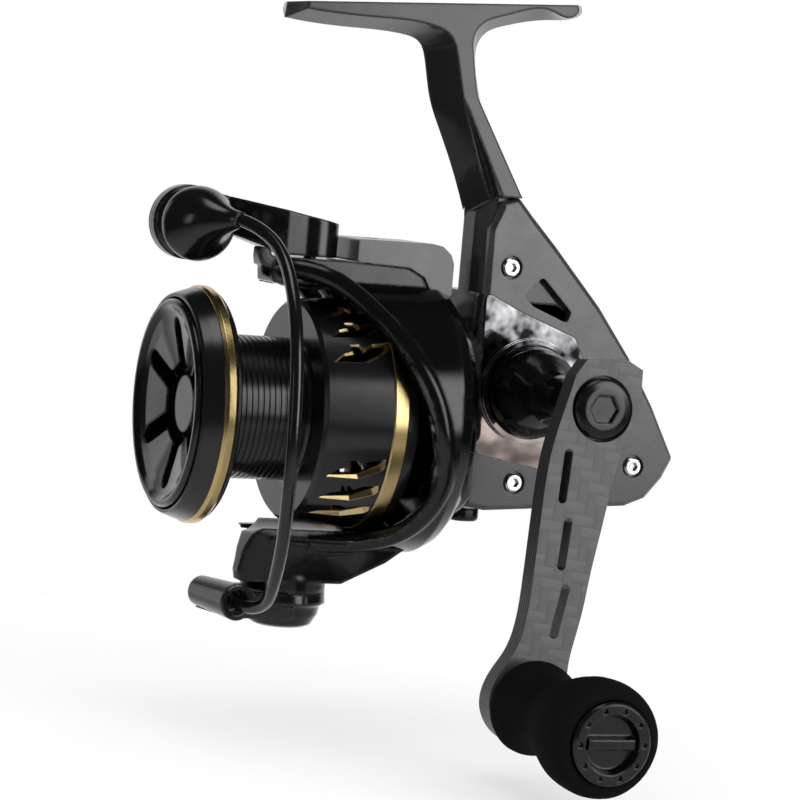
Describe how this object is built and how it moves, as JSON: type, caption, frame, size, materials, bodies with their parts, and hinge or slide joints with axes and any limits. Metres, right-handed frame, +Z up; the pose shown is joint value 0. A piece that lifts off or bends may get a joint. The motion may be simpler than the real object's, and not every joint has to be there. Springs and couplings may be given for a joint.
{
  "type": "spinning fishing reel",
  "caption": "Spinning fishing reel with a foot for a rod seat, folding bail, oscillating spool with front drag, and a carbon crank with a foam knob.",
  "frame": {"origin": "centre of the flat seat face on top of the foot", "axes": "+Z up from the shaft towards the rod, -Y forward along the spool shaft (line leaves the spool this way), +X towards the handle"},
  "size_m": [0.1131, 0.1084, 0.1422],
  "materials": {
    "black_shell": "gloss black carbon-filled nylon",
    "black_gloss": "gloss black",
    "black_metal": "gloss black anodised",
    "gold_ring": "gold anodised, diamond turned",
    "silver_trim": "polished",
    "steel_screw": "bright",
    "bearing_steel": "ground",
    "gear_metal": "die cast zinc alloy",
    "brass_part": "machined",
    "carbon_arm": "grey twill carbon laminate",
    "foam_grip": "matt black EVA foam",
    "drag_felt": "oiled felt"
  },
  "bodies": {
    "body": {"body_frame": "black_shell", "side_plate": "black_shell", "trim_plate": "silver_trim", "side_plate_screws": "steel_screw", "far_cap": "black_shell", "crank_bearings": "bearing_steel", "pinion_bearing": "bearing_steel", "pinion_bushing": "brass_part", "clutch_housing": "bearing_steel", "clutch_rollers": "bearing_steel", "guide_rod": "bearing_steel", "osc_axle": "bearing_steel"},
    "crank": {"drive_gear": "gear_metal", "osc_drive_gear": "gear_metal", "handle_shank": "bearing_steel", "dust_bell": "black_gloss", "handle_arm": "carbon_arm", "hub_bolt": "steel_screw", "hub_cap": "black_gloss", "knob_spindle": "bearing_steel"},
    "knob": {"knob_bearings": "bearing_steel", "knob_core": "black_gloss", "knob_grip": "foam_grip", "knob_cap": "black_gloss"},
    "rotor": {"rotor": "black_shell", "arm_cover": "black_gloss", "arm_cover_screw": "steel_screw", "bail_spring": "bearing_steel", "rotor_nut": "brass_part", "pinion_gear": "brass_part", "clutch_sleeve": "bearing_steel", "bail_pivot_screws": "black_metal"},
    "bail": {"bail_arm": "black_metal", "bail_wire": "black_metal", "bail_cone": "black_metal", "roller_screw": "black_metal", "bail_holder": "black_metal"},
    "line_roller": {"line_roller": "black_metal", "roller_bearing": "bearing_steel"},
    "main_shaft": {"main_shaft": "bearing_steel", "crosswind_block": "gear_metal", "spool_seat": "brass_part", "steel_drag_discs": "bearing_steel"},
    "spool": {"spool": "black_metal", "lip_ring": "gold_ring", "skirt_ring": "gold_ring", "drag_retainer": "bearing_steel", "felt_drag_discs": "drag_felt"},
    "drag_knob": {"drag_knob": "black_gloss", "drag_nut": "brass_part"},
    "osc_gear": {"osc_gear": "gear_metal"},
    "reverse_lever": {"reverse_lever": "black_gloss"}
  },
  "joints": [
    {"name": "crank_turn", "type": "hinge", "parent": "body", "child": "crank", "pos_m": [0, 0.0215, -0.074], "axis": [1, 0, 0], "continuous": true},
    {"name": "rotor_turn", "type": "hinge", "parent": "body", "child": "rotor", "pos_m": [0, -0.005, -0.0809], "axis": [0, 1, 0], "continuous": true},
    {"name": "osc_gear_turn", "type": "hinge", "parent": "body", "child": "osc_gear", "pos_m": [-0.0067, 0.0332, -0.0792], "axis": [1, 0, 0], "continuous": true},
    {"name": "knob_spin", "type": "hinge", "parent": "crank", "child": "knob", "pos_m": [0.06, 0.009, -0.129], "axis": [1, 0, 0], "continuous": true},
    {"name": "bail_flip", "type": "hinge", "parent": "rotor", "child": "bail", "pos_m": [0, -0.0225, -0.0809], "axis": [0, 0, 1], "range_deg": [-95, 0]},
    {"name": "line_roller_spin", "type": "hinge", "parent": "bail", "child": "line_roller", "pos_m": [-0.0018, -0.046, -0.0463], "axis": [1, 0, 0], "continuous": true},
    {"name": "spool_travel", "type": "slide", "parent": "body", "child": "main_shaft", "axis": [0, 1, 0], "range_m": [-0.0065, 0.0065]},
    {"name": "spool_slip", "type": "hinge", "parent": "main_shaft", "child": "spool", "pos_m": [0, -0.035, -0.0809], "axis": [0, 1, 0], "continuous": true},
    {"name": "drag_knob_turn", "type": "hinge", "parent": "main_shaft", "child": "drag_knob", "pos_m": [0, -0.045, -0.0809], "axis": [0, 1, 0], "range_deg": [-360, 360]},
    {"name": "reverse_lever_flip", "type": "hinge", "parent": "body", "child": "reverse_lever", "pos_m": [0, 0.0126, -0.0999], "axis": [0, 0, 1], "range_deg": [-20, 20]}
  ],
  "couplings": [
    {"joint": "rotor_turn", "follows": "crank_turn", "ratio": 5},
    {"joint": "osc_gear_turn", "follows": "crank_turn", "ratio": -0.6}
  ]
}
